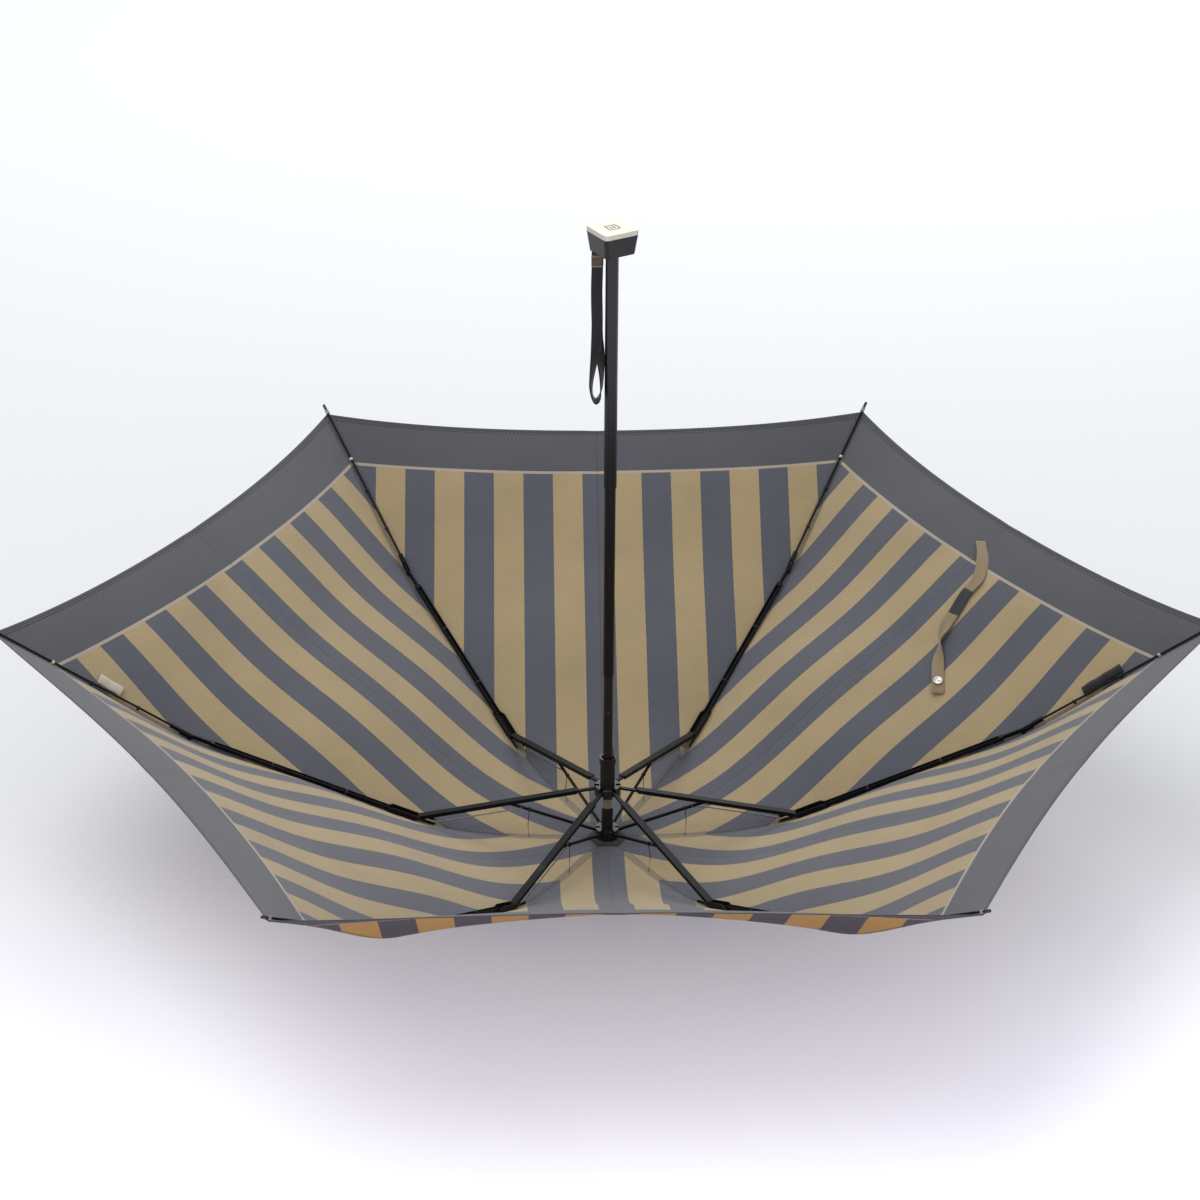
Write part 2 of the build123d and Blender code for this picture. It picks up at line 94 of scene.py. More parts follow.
area_light("key", (-1.2, -0.4, 3.0), (0, 0, 0.1), 2.6, 34, (1.0, 0.99, 0.97))
area_light("back", (0.6, 2.6, 2.0), (0, -0.2, 0.2), 2.2, 36, (0.97, 0.98, 1.0))
area_light("front", (0.3, -2.6, 0.7), (0, -0.2, 0.0), 1.8, 12, (1.0, 1.0, 1.0))

world = bpy.data.worlds.new("studio")
world.use_nodes = True
world.node_tree.nodes["Background"].inputs["Color"].default_value = (0.93, 0.95, 0.97, 1)
world.node_tree.nodes["Background"].inputs["Strength"].default_value = 0.70
bpy.context.scene.world = world
bpy.context.scene.view_settings.view_transform = "Standard"


# ---- materials -----------------------------------------------------------------------------------
class Finish:
    """One Principled material and short names for building its nodes."""

    def __init__(self, name, colour, roughness, metallic=0.0, **sockets):
        self.material = bpy.data.materials.new(name)
        self.material.use_nodes = True
        self.tree = self.material.node_tree
        self.shader = self.tree.nodes["Principled BSDF"]
        self.set("Base Color", (*colour, 1))
        self.set("Roughness", roughness)
        self.set("Metallic", metallic)
        for key, value in sockets.items():
            self.set(key.replace("_", " "), value)

    def set(self, socket, value):
        if isinstance(value, bpy.types.NodeSocket):
            self.tree.links.new(value, self.shader.inputs[socket])
        else:
            self.shader.inputs[socket].default_value = value

    def add(self, kind, inputs, output=0, **settings):
        node = self.tree.nodes.new(kind)
        for key, value in settings.items():
            setattr(node, key, value)
        for key, value in inputs.items():
            if isinstance(value, bpy.types.NodeSocket):
                self.tree.links.new(value, node.inputs[key])
            else:
                node.inputs[key].default_value = value
        return node.outputs[output]

    def math(self, operation, *values):
        return self.add("ShaderNodeMath", dict(enumerate(values)), operation=operation)

    def ramp(self, value, low, high):
        """0 below low, 1 above high, smooth between."""
        sockets = {"Value": value, "From Min": low, "From Max": high}
        return self.add("ShaderNodeMapRange", sockets, interpolation_type="SMOOTHSTEP")

    def mix(self, factor, a, b):
        a, b = ((*c, 1) if isinstance(c, tuple) else c for c in (a, b))
        return self.add("ShaderNodeMix", {0: factor, 6: a, 7: b}, output=2, data_type="RGBA")

    def object_point(self):
        return self.add("ShaderNodeTexCoord", {}, output=3)

    def uv(self, layer):
        """The two coordinates of a UV layer, in metres."""
        point = self.add("ShaderNodeUVMap", {}, uv_map=layer)
        split = self.tree.nodes.new("ShaderNodeSeparateXYZ")
        self.tree.links.new(point, split.inputs[0])
        return point, split.outputs[0], split.outputs[1]

    def xyz(self, point):
        split = self.tree.nodes.new("ShaderNodeSeparateXYZ")
        self.tree.links.new(point, split.inputs[0])
        return split.outputs

    def noise(self, point, scale, detail=3.0, roughness=0.55):
        sockets = {"Vector": point, "Scale": scale, "Detail": detail, "Roughness": roughness}
        return self.add("ShaderNodeTexNoise", sockets)

    def stretched(self, point, scale):
        return self.add("ShaderNodeMapping", {"Vector": point, "Scale": scale})

    def sine(self, value, period):
        return self.math("SINE", self.math("MULTIPLY", value, 2 * pi / period))

    def bump(self, height, strength, distance):
        sockets = {"Strength": strength, "Distance": distance, "Height": height}
        self.set("Normal", self.add("ShaderNodeBump", sockets))

    def speckle(self, colour, other, point, scale):
        """Base colour that wanders between two tones."""
        self.set("Base Color", self.mix(self.ramp(self.noise(point, scale), 0.35, 0.65), colour, other))

    def times(self, a, b):
        return self.math("MULTIPLY", a, b)

    def near(self, value, middle, reach):
        """1 within reach of the middle, 0 elsewhere."""
        return self.math("LESS_THAN", self.math("ABSOLUTE", self.math("SUBTRACT", value, middle)), reach)


def canopy_cloth(name, grey, beige, band, trim, sheen):
    """Striped gore cloth with its border, hem and seams, and painted shade in the seam folds and along the
    pressed crease.

    Layer cut holds metres across and along the gore, layer edge metres to the seam and to the hem.
    """
    finish = Finish(name, grey, 0.72, Sheen_Weight=sheen, Sheen_Roughness=0.5, Specular_IOR_Level=sheen)
    stripe, border, trim_end, thread = 24.8 * MM, 50.8 * MM, 53.8 * MM, 0.9 * MM
    # crease is the painted shade colour for the seam folds and the pressed crease
    crease, cloud, shadow = (0.03, 0.03, 0.037), (0.02, 0.02, 0.03), (0.02, 0.02, 0.025)
    cut, across, along = finish.uv("cut")
    _, to_seam, to_hem = finish.uv("edge")
    off_middle = finish.math("ABSOLUTE", across)

    # stripes with slightly wandering edges, in yarn of two close tones
    wander = finish.times(finish.math("SUBTRACT", finish.noise(cut, 900.0, 2.0), 0.5), 0.8 * MM)
    steps = finish.math("DIVIDE", finish.math("ADD", off_middle, wander), stripe)
    even = finish.math("MODULO", finish.math("FLOOR", finish.math("ADD", steps, 0.5)), 2.0)
    melange = finish.noise(finish.stretched(cut, (1900.0, 500.0, 1.0)), 1.0, 3.0)
    yarn = finish.ramp(melange, 0.3, 0.7)
    grey_tone, beige_tone, band_tone = (
        finish.mix(yarn, colour, tuple(0.80 * c for c in colour)) for colour in (grey, beige, band)
    )
    striped = finish.mix(even, grey_tone, beige_tone)
    trimmed = finish.mix(finish.math("LESS_THAN", to_hem, trim_end), striped, trim)
    bordered = finish.mix(finish.math("LESS_THAN", to_hem, border), trimmed, band_tone)

    # turned hem and seam allowances, each with its row of stitches, and painted shade in the folds beside the
    # seams and along the pressed crease mid-gore
    hem_fold = finish.ramp(to_hem, 5.8 * MM, 5.3 * MM)
    edged = finish.mix(finish.times(hem_fold, 0.55), bordered, (0.035, 0.037, 0.045))
    hem_dashes = finish.math("GREATER_THAN", finish.sine(across, 3.2 * MM), -0.35)
    seam_dashes = finish.math("GREATER_THAN", finish.sine(along, 3.0 * MM), -0.3)
    hem_stitches = finish.times(finish.near(to_hem, 4.6 * MM, 0.3 * MM), hem_dashes)
    seam_stitches = finish.times(finish.near(to_seam, 2.7 * MM, 0.3 * MM), seam_dashes)
    stitches = finish.math("MAXIMUM", hem_stitches, seam_stitches)
    # painted shade: the cloth darkens in the fold beside each seam and along the pressed crease mid-gore
    seam_fold_and_shade = finish.ramp(to_seam, 4.2 * MM, 3.4 * MM)
    crease_shaded = finish.mix(finish.times(seam_fold_and_shade, 0.45), edged, crease)
    pressed_crease_shade = finish.ramp(off_middle, 1.1 * MM, 0.3 * MM)
    crease_shaded = finish.mix(finish.times(pressed_crease_shade, 0.30), crease_shaded, crease)

    # slow clouding and the plain weave
    clouds = finish.ramp(finish.noise(cut, 14.0, 3.0), 0.35, 0.75)
    clouded = finish.mix(finish.times(clouds, 0.12), crease_shaded, cloud)
    threads = finish.times(finish.sine(across, thread), finish.sine(along, thread))
    woven = finish.mix(finish.times(finish.ramp(threads, 1.0, -1.0), 0.10), clouded, shadow)
    finish.set("Base Color", finish.mix(stitches, woven, (0.16, 0.15, 0.15)))
    height = finish.math("ADD", finish.times(finish.ramp(threads, -1.0, 1.0), 0.3), finish.times(melange, 0.35))
    height = finish.math("ADD", height, finish.times(finish.math("ADD", hem_fold, seam_fold_and_shade), 1.2))
    height = finish.math("ADD", height, finish.times(stitches, -1.0))
    finish.bump(height, 0.5, 0.0003)
    return finish.material


def painted_steel(name, colour, roughness):
    """Sheet metal under black paint with a fine grain and slightly worn patches."""
    finish = Finish(name, colour, roughness, Specular_IOR_Level=0.13)
    point = finish.object_point()
    wear = finish.ramp(finish.noise(point, 60.0, 4.0), 0.60, 0.76)
    finish.set("Base Color", finish.mix(finish.times(wear, 0.25), colour, (0.06, 0.06, 0.063)))
    grain = finish.noise(point, 1400.0, 2.0)
    finish.set("Roughness", finish.math("ADD", finish.times(grain, 0.2), roughness - 0.1))
    finish.bump(grain, 0.25, 0.0001)
    return finish.material


def bright_steel(name, colour, roughness):
    """Bare metal with a grain drawn along Z."""
    finish = Finish(name, colour, roughness, 1.0)
    point = finish.object_point()
    grain = finish.noise(finish.stretched(point, (900.0, 900.0, 120.0)), 1.0, 3.0)
    dark = tuple(c * 0.72 for c in colour)
    finish.set("Base Color", finish.mix(finish.ramp(grain, 0.35, 0.7), colour, dark))
    finish.set("Roughness", finish.math("ADD", finish.times(grain, 0.3), roughness - 0.12))
    finish.bump(grain, 0.2, 0.0001)
    return finish.material


SHAFT_GLOSS = {"Specular_IOR_Level": 0.35, "Coat_Weight": 0.12, "Coat_Roughness": 0.16}


def fluted(name, colour, roughness, count, depth=0.5):
    """Round part about the shaft's axis with shallow lengthwise flutes."""
    finish = Finish(name, colour, roughness, **SHAFT_GLOSS)
    point = finish.object_point()
    x, y, _ = finish.xyz(point)
    angle = finish.math("ARCTAN2", y, x)
    wave = finish.math("COSINE", finish.times(angle, float(count)))
    streaks = finish.noise(finish.stretched(point, (420.0, 420.0, 6.0)), 1.0, 3.0)
    fine = finish.noise(point, 1600.0, 2.0)
    scuff = finish.ramp(finish.noise(finish.stretched(point, (90.0, 90.0, 22.0)), 1.0, 4.0), 0.6, 0.8)
    finish.set("Base Color", finish.mix(finish.times(scuff, 0.25), colour, (0.05, 0.05, 0.053)))
    finish.set("Roughness", finish.math("ADD", finish.times(streaks, 0.16), roughness - 0.06))
    height = finish.math("ADD", finish.ramp(wave, -0.2, 0.9), finish.times(fine, 0.06))
    finish.bump(height, depth, 0.0003)
    return finish.material


def thin_shaft(name):
    """Inner tube: black paint above the runner, worn to bare steel below it."""
    black = (0.010, 0.010, 0.011)
    finish = Finish(name, black, 0.28, **SHAFT_GLOSS)
    point = finish.object_point()
    _, _, height = finish.xyz(point)
    streaks = finish.noise(finish.stretched(point, (600.0, 600.0, 40.0)), 1.0, 3.0)
    painted = finish.ramp(finish.math("ADD", height, finish.times(streaks, 3 * MM)), 59.5 * MM, 60.5 * MM)
    bare = finish.mix(streaks, (0.36, 0.32, 0.31), (0.20, 0.175, 0.17))
    finish.set("Base Color", finish.mix(painted, bare, black))
    finish.set("Roughness", finish.math("ADD", finish.times(streaks, 0.2), 0.2))
    finish.bump(streaks, 0.2, 0.0001)
    return finish.material


def moulded(name, colour, roughness, other=None, scale=900.0):
    """Moulded plastic: fine spark-eroded grain and slow tone changes."""
    finish = Finish(name, colour, roughness)
    point = finish.object_point()
    finish.speckle(colour, other or tuple(c * 1.5 + 0.004 for c in colour), point, 70.0)
    grain = finish.noise(point, scale, 4.0, 0.7)
    finish.set("Roughness", finish.math("ADD", finish.times(grain, 0.25), roughness - 0.12))
    finish.bump(grain, 0.3, 0.0001)
    return finish.material


def webbing(name, colour, dark, pitch):
    """Narrow herringbone tape with painted shade in its rib valleys. Layer cut holds metres across and along.
    """
    finish = Finish(name, colour, 0.75, Sheen_Weight=0.3, Sheen_Roughness=0.4, Specular_IOR_Level=0.3)
    cut, across, along = finish.uv("cut")
    slope = finish.math("ADD", along, finish.times(finish.math("ABSOLUTE", across), 0.9))
    ribs = finish.ramp(finish.sine(slope, pitch), -0.8, 0.8)
    threads = finish.ramp(finish.sine(across, pitch * 0.6), -1.0, 1.0)
    fibre = finish.noise(finish.stretched(cut, (3000.0, 900.0, 1.0)), 1.0, 3.0)
    height = finish.math("ADD", finish.times(ribs, threads), finish.times(fibre, 0.4))
    # painted shade: the tape is darker in the valleys between its herringbone ribs
    tone = finish.mix(finish.times(finish.math("SUBTRACT", 1.0, ribs), 0.55), colour, dark)
    finish.set("Base Color", finish.mix(finish.times(fibre, 0.3), tone, dark))
    finish.bump(height, 0.6, 0.0002)
    return finish.material


cloth_inside = canopy_cloth(
    "cloth_inside", (0.098, 0.102, 0.128), (0.43, 0.325, 0.175),
    band=(0.090, 0.091, 0.105), trim=(0.40, 0.33, 0.27), sheen=0.25,
)
cloth_outside = canopy_cloth(
    "cloth_outside", (0.046, 0.037, 0.048), (0.36, 0.19, 0.042),
    band=(0.042, 0.036, 0.046), trim=(0.30, 0.22, 0.16), sheen=0.05,
)
black_paint = painted_steel("black_paint", (0.006, 0.006, 0.007), 0.46)
rib_paint = painted_steel("rib_paint", (0.006, 0.006, 0.007), 0.48)
wire_steel = bright_steel("wire_steel", (0.30, 0.28, 0.27), 0.38)
rivet_steel = bright_steel("rivet_steel", (0.055, 0.055, 0.06), 0.36)
shaft_paint = fluted("shaft_paint", (0.004, 0.004, 0.005), 0.26, 8)
thin_shaft_paint = thin_shaft("thin_shaft_paint")
runner_plastic = fluted("runner_plastic", (0.011, 0.011, 0.012), 0.32, 12, 0.9)
sleeve_plastic = fluted("sleeve_plastic", (0.010, 0.010, 0.011), 0.36, 9, 0.7)
black_plastic = moulded("black_plastic", (0.012, 0.012, 0.013), 0.38)
catch_plastic = moulded("catch_plastic", (0.20, 0.14, 0.08), 0.42, (0.15, 0.10, 0.06))
thread_black = moulded("thread_black", (0.010, 0.010, 0.012), 0.8, scale=4000.0)
thread_pale = moulded("thread_pale", (0.50, 0.44, 0.35), 0.8, scale=4000.0)
strap_webbing = webbing("strap_webbing", (0.016, 0.016, 0.020), (0.006, 0.006, 0.008), 0.0011)
strap_leather = moulded("strap_leather", (0.048, 0.028, 0.013), 0.55, (0.075, 0.045, 0.02), 500.0)
tie_ribbon = webbing("tie_ribbon", (0.31, 0.235, 0.145), (0.18, 0.125, 0.07), 0.0014)
tie_dark = webbing("tie_dark", (0.045, 0.045, 0.052), (0.018, 0.018, 0.022), 0.0010)
label_dark = webbing("label_dark", (0.014, 0.013, 0.013), (0.006, 0.006, 0.006), 0.0007)
label_pale = webbing("label_pale", (0.56, 0.51, 0.43), (0.40, 0.35, 0.28), 0.0007)


def handle_finishes():
    """Charcoal lacquer of the body, and the brushed pale metal of the plate."""
    gloss = {"Specular_IOR_Level": 0.3, "Coat_Weight": 0.08, "Coat_Roughness": 0.2}
    body = Finish("handle_lacquer", (0.012, 0.012, 0.014), 0.36, **gloss)
    point = body.object_point()
    body.speckle((0.010, 0.010, 0.012), (0.016, 0.015, 0.016), point, 120.0)
    grain = body.noise(point, 1500.0, 3.0)
    body.set("Roughness", body.math("ADD", body.times(grain, 0.15), 0.24))
    body.bump(grain, 0.15, 0.0001)
    plate = Finish("handle_metal", (0.62, 0.58, 0.50), 0.42, 0.5)
    point = plate.object_point()
    brushed = plate.noise(plate.stretched(point, (160.0, 4200.0, 900.0)), 1.0, 3.0)
    tone = plate.mix(plate.ramp(brushed, 0.3, 0.7), (0.60, 0.57, 0.49), (0.50, 0.47, 0.40))
    plate.set("Base Color", tone)
    plate.set("Roughness", plate.math("ADD", plate.times(brushed, 0.22), 0.34))
    plate.bump(brushed, 0.2, 0.00008)
    return body.material, plate.material


def tip_finish():
    """Pale knob against the cloth, black pin past it."""
    finish = Finish("tip_plastic", (0.015, 0.015, 0.016), 0.4)
    point = finish.object_point()
    x, y, _ = finish.xyz(point)
    squares = finish.math("ADD", finish.math("POWER", x, 2.0), finish.math("POWER", y, 2.0))
    pin = finish.ramp(finish.math("SQRT", squares), TIP_PIN, TIP_PIN + 0.4 * MM)
    grain = finish.noise(point, 900.0, 3.0)
    pale = finish.mix(grain, (0.30, 0.27, 0.22), (0.20, 0.18, 0.15))
    finish.set("Base Color", finish.mix(pin, pale, (0.012, 0.012, 0.013)))
    finish.bump(grain, 0.2, 0.0001)
    return finish.material


handle_lacquer, handle_metal = handle_finishes()
tip_plastic = tip_finish()
dress = {
    "crown": sleeve_plastic, "crown_wire": rivet_steel, "ferrule_cap": black_plastic, "runner": runner_plastic,
    "runner_wire": rivet_steel, "catch_spring": catch_plastic, "inner_tube": thin_shaft_paint,
    "middle_tube": shaft_paint, "outer_tube": shaft_paint, "handle_body": handle_lacquer,
    "handle_plate": handle_metal, "top_rib": rib_paint, "stretcher": black_paint, "rivets": rivet_steel,
    "link_wire": wire_steel, "middle_rib": rib_paint, "outer_rib": rib_paint, "tip": tip_plastic,
}
for name, node in nodes.items():
    kind = name.rsplit("_", 1)[0] if name[-1].isdigit() else name
    if kind in dress:
        node.data.materials.clear()
        node.data.materials.append(dress[kind])


# ---- meshes --------------------------------------------------------------------------------------
def piece(name, points, faces, materials, slots=None, layers=None):
    """Smooth mesh object at the origin. layers maps a UV layer's name to one pair per point."""
    mesh = bpy.data.meshes.new(name)
    places = [tuple(float(c) for c in p) for p in points]
    mesh.from_pydata(places, [], [tuple(int(i) for i in f) for f in faces])
    for finish in materials:
        mesh.materials.append(finish)
    if slots is not None:
        mesh.polygons.foreach_set("material_index", [int(s) for s in slots])
    mesh.polygons.foreach_set("use_smooth", [True] * len(mesh.polygons))
    corner = np.zeros(len(mesh.loops), int)
    mesh.loops.foreach_get("vertex_index", corner)
    for layer, values in (layers or {}).items():
        uv = mesh.uv_layers.new(name=layer)
        uv.data.foreach_set("uv", np.asarray(values, float)[corner].ravel())
    mesh.validate()
    made = bpy.data.objects.new(name, mesh)
    bpy.context.scene.collection.objects.link(made)
    return made


def grid_faces(rows, columns):
    faces = []
    for i in range(rows - 1):
        for j in range(columns - 1):
            a = i * columns + j
            faces.append((a + columns, a + columns + 1, a + 1, a))
    return faces


def ring_faces(rings, sides):
    """Quads between rings of points that follow each other."""
    faces = []
    for k in range(rings - 1):
        for s in range(sides):
            a, b = k * sides + s, k * sides + (s + 1) % sides
            faces.append((a, b, b + sides, a + sides))
    return faces


def end_caps(rings, sides):
    """One face over the first ring and one over the last."""
    return [tuple(range(sides))[::-1], tuple(range((rings - 1) * sides, rings * sides))]


def tube(name, path, radius, material, sides=6):
    """Round thread along a list of points."""
    path = [Vector(p) for p in path]
    count = len(path)
    points = []
    for k, centre in enumerate(path):
        along = (path[min(k + 1, count - 1)] - path[max(k - 1, 0)]).normalized()
        side = along.cross(Vector((0, 0, 1)))
        side = side.normalized() if side.length > 1e-3 else Vector((1, 0, 0))
        over = side.cross(along).normalized()
        for s in range(sides):
            angle = 2 * pi * s / sides
            points.append(centre + radius * (cos(angle) * side + sin(angle) * over))
    return piece(name, points, ring_faces(count, sides) + end_caps(count, sides), [material])


# ---- the canopy's surface ------------------------------------------------------------------------
# radius and height of the cloth over a rib: from the crown over the elbow and the outer hinge to the tip
seam_knots = MM * np.array(
    [(4.4, 14.1), (18.0, 14.1), (133.89, 25.57), (171.54, 39.78),
     (230.79, 66.51), (316.89, 102.25), (390.21, 151.33), (456.36, 194.51)]
)


def natural_spline(knots):
    """Dense points of the natural cubic through the knots, spaced by chord length."""
    t = np.r_[0, np.cumsum(np.hypot(*np.diff(knots, axis=0).T))]
    h, n = np.diff(t), len(t)
    system, force = np.eye(n), np.zeros((n, 2))
    for k in range(1, n - 1):
        system[k, k - 1 : k + 2] = h[k - 1], 2 * (h[k - 1] + h[k]), h[k]
        force[k] = 6 * ((knots[k + 1] - knots[k]) / h[k] - (knots[k] - knots[k - 1]) / h[k - 1])
    curve = np.linalg.solve(system, force)
    s = np.linspace(0, t[-1], 4001)
    k = np.clip(np.searchsorted(t, s) - 1, 0, n - 2)
    a, b = ((t[k + 1] - s) / h[k])[:, None], ((s - t[k]) / h[k])[:, None]
    bend = ((a**3 - a) * curve[k] + (b**3 - b) * curve[k + 1]) * (h[k] ** 2)[:, None] / 6
    return a * knots[k] + b * knots[k + 1] + bend


seam_line = natural_spline(seam_knots)
seam_arc = np.r_[0, np.cumsum(np.hypot(*np.diff(seam_line, axis=0).T))]
seam_length = seam_arc[-1]


def seam(share):
    """Radius and height of the seam at a share of its length."""
    arc = np.clip(share, 0, None) * seam_length
    over = np.clip(arc - seam_length, 0, None)
    slope = seam_line[-1] - seam_line[-40]
    slope = slope / np.hypot(*slope)
    return tuple(np.interp(arc, seam_arc, seam_line[:, c]) + over * slope[c] for c in (0, 1))


def seam_place(share):
    return tuple(float(c) for c in seam(share))


def share_at(radius):
    return float(np.interp(radius, seam_line[:, 0], seam_arc)) / seam_length


def gathers(u, v, r):
    """Small puckers along the stitched seams, slack between them, and a soft pressed crease mid-gore."""
    to_seam = (1 - np.abs(v)) * r * 0.5
    seam_pull = 0.30 * MM * np.exp(-to_seam / 0.011) * np.sin(u * seam_length * 2 * pi / 0.017)
    seam_pull = seam_pull * (1 - np.exp(-to_seam / 0.002))
    slack = 0.9 * MM * np.sin(pi * np.clip((u - 0.1) / 0.9, 0, 1)) * np.cos(v * 5.2 + u * 9) * (1 - v**2) ** 2
    crease = -0.35 * MM * np.exp(-np.abs(v) * r / 0.006) * np.clip(u * 3, 0, 1)
    return seam_pull + slack * np.clip(u * 2, 0, 1) + crease


def cloth_point(gore, u, v, lift=0.0):
    """Points of a gore, u from crown to hem and v from -1 to 1 across, with their cut and edge coordinates."""
    u, v = np.broadcast_arrays(np.asarray(u, float), np.asarray(v, float))
    reach = u * (1 - HEM_SAG * u**4 * (1 - v**2))
    r, z = seam(reach)
    x, y = r * cos(HALF), v * r * sin(HALF)
    hump = 6.75 * reach**2 * (1 - reach)  # 1 at two thirds of the way, 0 at both ends
    z = z + SADDLE * hump * (1 - v**2) + gathers(u, v, r) + lift
    turn = (gore * 2 + 1) * HALF
    point = np.stack([x * cos(turn) - y * sin(turn), x * sin(turn) + y * cos(turn), z], axis=-1)
    to_hem = (1 - HEM_SAG * (1 - v**2) - reach) * seam_length
    cut = np.stack([y, reach * seam_length], axis=-1)
    return point, cut, np.stack([(1 - np.abs(v)) * r * 0.5, to_hem], axis=-1)


CLOTH = 0.45 * MM  # thickness
CENTRE_R = 0.026  # radius of the centre pieces, which stay flat on the crown
CENTRE, ELBOW, OUTER = share_at(CENTRE_R), share_at(0.1439), share_at(0.3157)
hem = 5.5 * MM / seam_length


def cloth_patch(name, gore, us, vs, hemmed):
    """Patch of one gore: an inside layer, an outside layer, and at the hem a turned edge that joins them."""
    steps = [(u, 0.0) for u in us]
    if hemmed:
        steps = [(u, 0.0) for u in us if u < 1 - hem * 1.15]
        turned = [(-1.1, 0.0), (-1, 0.38), (-0.5, 0.42), (-0.2, 0.40), (0, 0.22), (0.1, -0.05), (0, -0.35)]
        steps += [(1 + share * hem, lift * MM) for share, lift in turned]
        steps.append((1 - 0.2 * hem, -CLOTH))
        inside = len(steps) - 2
        steps += [(u, -CLOTH) for u in reversed(us) if u < 1 - 0.25 * hem]
    else:
        steps += [(u, -CLOTH) for u in reversed(us)]
        inside = len(us)
    columns = len(vs)
    u = np.array([s[0] for s in steps])[:, None]
    lift = np.array([s[1] for s in steps])[:, None]
    point, cut, edge = cloth_point(gore, u, np.array(vs)[None, :], lift)
    edge[..., 1] = np.maximum(edge[..., 1], 0.0)
    rows = len(steps)
    faces = grid_faces(rows, columns)
    slots = [0 if i // (columns - 1) < inside - 1 else 1 for i in range(len(faces))]
    first = (rows - 1) * columns
    walls = [(first + j, j, j + 1, first + j + 1) for j in range(columns - 1)]
    paired = len([u for u in us if u < 1 - hem * 1.15]) if hemmed else inside
    if not hemmed:
        fold = range((inside - 1) * columns, inside * columns - 1)
        walls += [(i, i + 1, i + columns + 1, i + columns) for i in fold]
    for side in (0, columns - 1):
        for i in range(paired - 1):
            a, b, c, d = (k * columns + side for k in (i, i + 1, rows - 2 - i, rows - 1 - i))
            walls.append((a, b, c, d) if side else (a, d, c, b))
        if hemmed:
            loop = tuple(k * columns + side for k in range(paired - 1, rows - paired + 1))
            walls.append(loop if side else loop[::-1])
    if not hemmed:
        faces = [f for i, f in enumerate(faces) if i // (columns - 1) != inside - 1]
        slots = [k for i, k in enumerate(slots) if i // (columns - 1) != inside - 1]
    layers = {"cut": cut.reshape(-1, 2), "edge": edge.reshape(-1, 2)}
    sharp = {frozenset((w[k - 1], w[k])) for w in walls for k in range(len(w))}
    slots += [1] * len(walls)
    made = piece(name, point.reshape(-1, 3), faces + walls, [cloth_inside, cloth_outside], slots, layers)
    for line in made.data.edges:
        line.use_edge_sharp = frozenset(line.vertices) in sharp
    return made


def declare_sheet(made):
    """Work out a closed two-layer piece's cloth size: its area is half its surface, its width its middle
    extent; nothing is done with the result.
    """
    area = sum(p.area for p in made.data.polygons) / 2
    corners = np.array([v.co for v in made.data.vertices])
    spread = corners.max(0) - corners.min(0)
    width = max(0.011, float(np.sort(spread)[-2]))
    length = max(area * 1.02 / width, 0.011)
    if area > 0.98 * width * length:
        length = area / (0.98 * width)
    width = min(width, area / (0.32 * length))


def fold_to_rib(made, body):
    """The half gore on one hand of a rib rides on that rib."""
    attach(made, body)
    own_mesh(made)


def spaced(start, end, pitch):
    count = max(2, round((end - start) * seam_length / pitch))
    return list(np.linspace(start, end, count + 1))


centre_us = spaced(0.0, CENTRE, 2.4 * MM)
parts = []
for gore in range(6):
    vs = list(np.linspace(-1, 1, 17))
    parts.append(cloth_patch(f"canopy_centre_{gore + 1}", gore, centre_us, vs, False))
    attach(parts[-1], "root")
for gore in range(6):
    for wedge in range(4):
        low = -1 + wedge / 2
        made = cloth_patch(
            f"canopy_inner_{gore + 1}_{wedge + 1}", gore, spaced(CENTRE, ELBOW, 3.6 * MM),
            list(np.linspace(low, low + 0.5, 9)), False,
        )
        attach(made, "root")
        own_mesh(made)
        parts.append(made)
for rib in range(6):
    for hand in (-1, 1):
        gore = rib if hand > 0 else (rib - 1) % 6
        vs = list(np.linspace(-1, 0, 17) if hand > 0 else np.linspace(0, 1, 17))
        label = f"{rib + 1}_{'left' if hand > 0 else 'right'}"
        made = cloth_patch(f"canopy_middle_{label}", gore, spaced(ELBOW, OUTER, 4.0 * MM), vs, False)
        fold_to_rib(made, f"middle_rib_{rib + 1}")
        parts.append(made)
        made = cloth_patch(f"canopy_outer_{label}", gore, spaced(OUTER, 1.0, 4.0 * MM), vs, True)
        fold_to_rib(made, f"outer_rib_{rib + 1}")
        parts.append(made)
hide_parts("canopy")
for made in parts:
    declare_sheet(made)


# ---- rosette: the hexagonal patch of cloth under the crown ---------------------------------------
def rosette():
    rows, columns = 8, 48
    hole, corner = 4.5 * MM, 15.8 * MM
    points, cut = [], []
    for i in list(range(rows)) + list(range(rows))[::-1]:
        height = 14.85 * MM if len(points) < rows * columns else 14.6 * MM
        for j in range(columns):
            angle = 2 * pi * j / columns
            rim = corner * cos(HALF) / cos((angle % (2 * HALF)) - HALF)
            r = hole + (rim - hole) * i / (rows - 1)
            points.append((r * cos(angle), r * sin(angle), height))
            cut.append((r * cos(angle), r * sin(angle)))
    faces = []
    for i in range(2 * rows):
        for j in range(columns):
            a, b = i * columns + j, i * columns + (j + 1) % columns
            faces.append((a, (a + columns) % len(points), (b + columns) % len(points), b))
    return piece("rosette_patch", points, faces, [tie_dark], layers={"cut": cut})


patch = rosette()
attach(patch, "root")
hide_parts("rosette")
declare_sheet(patch)


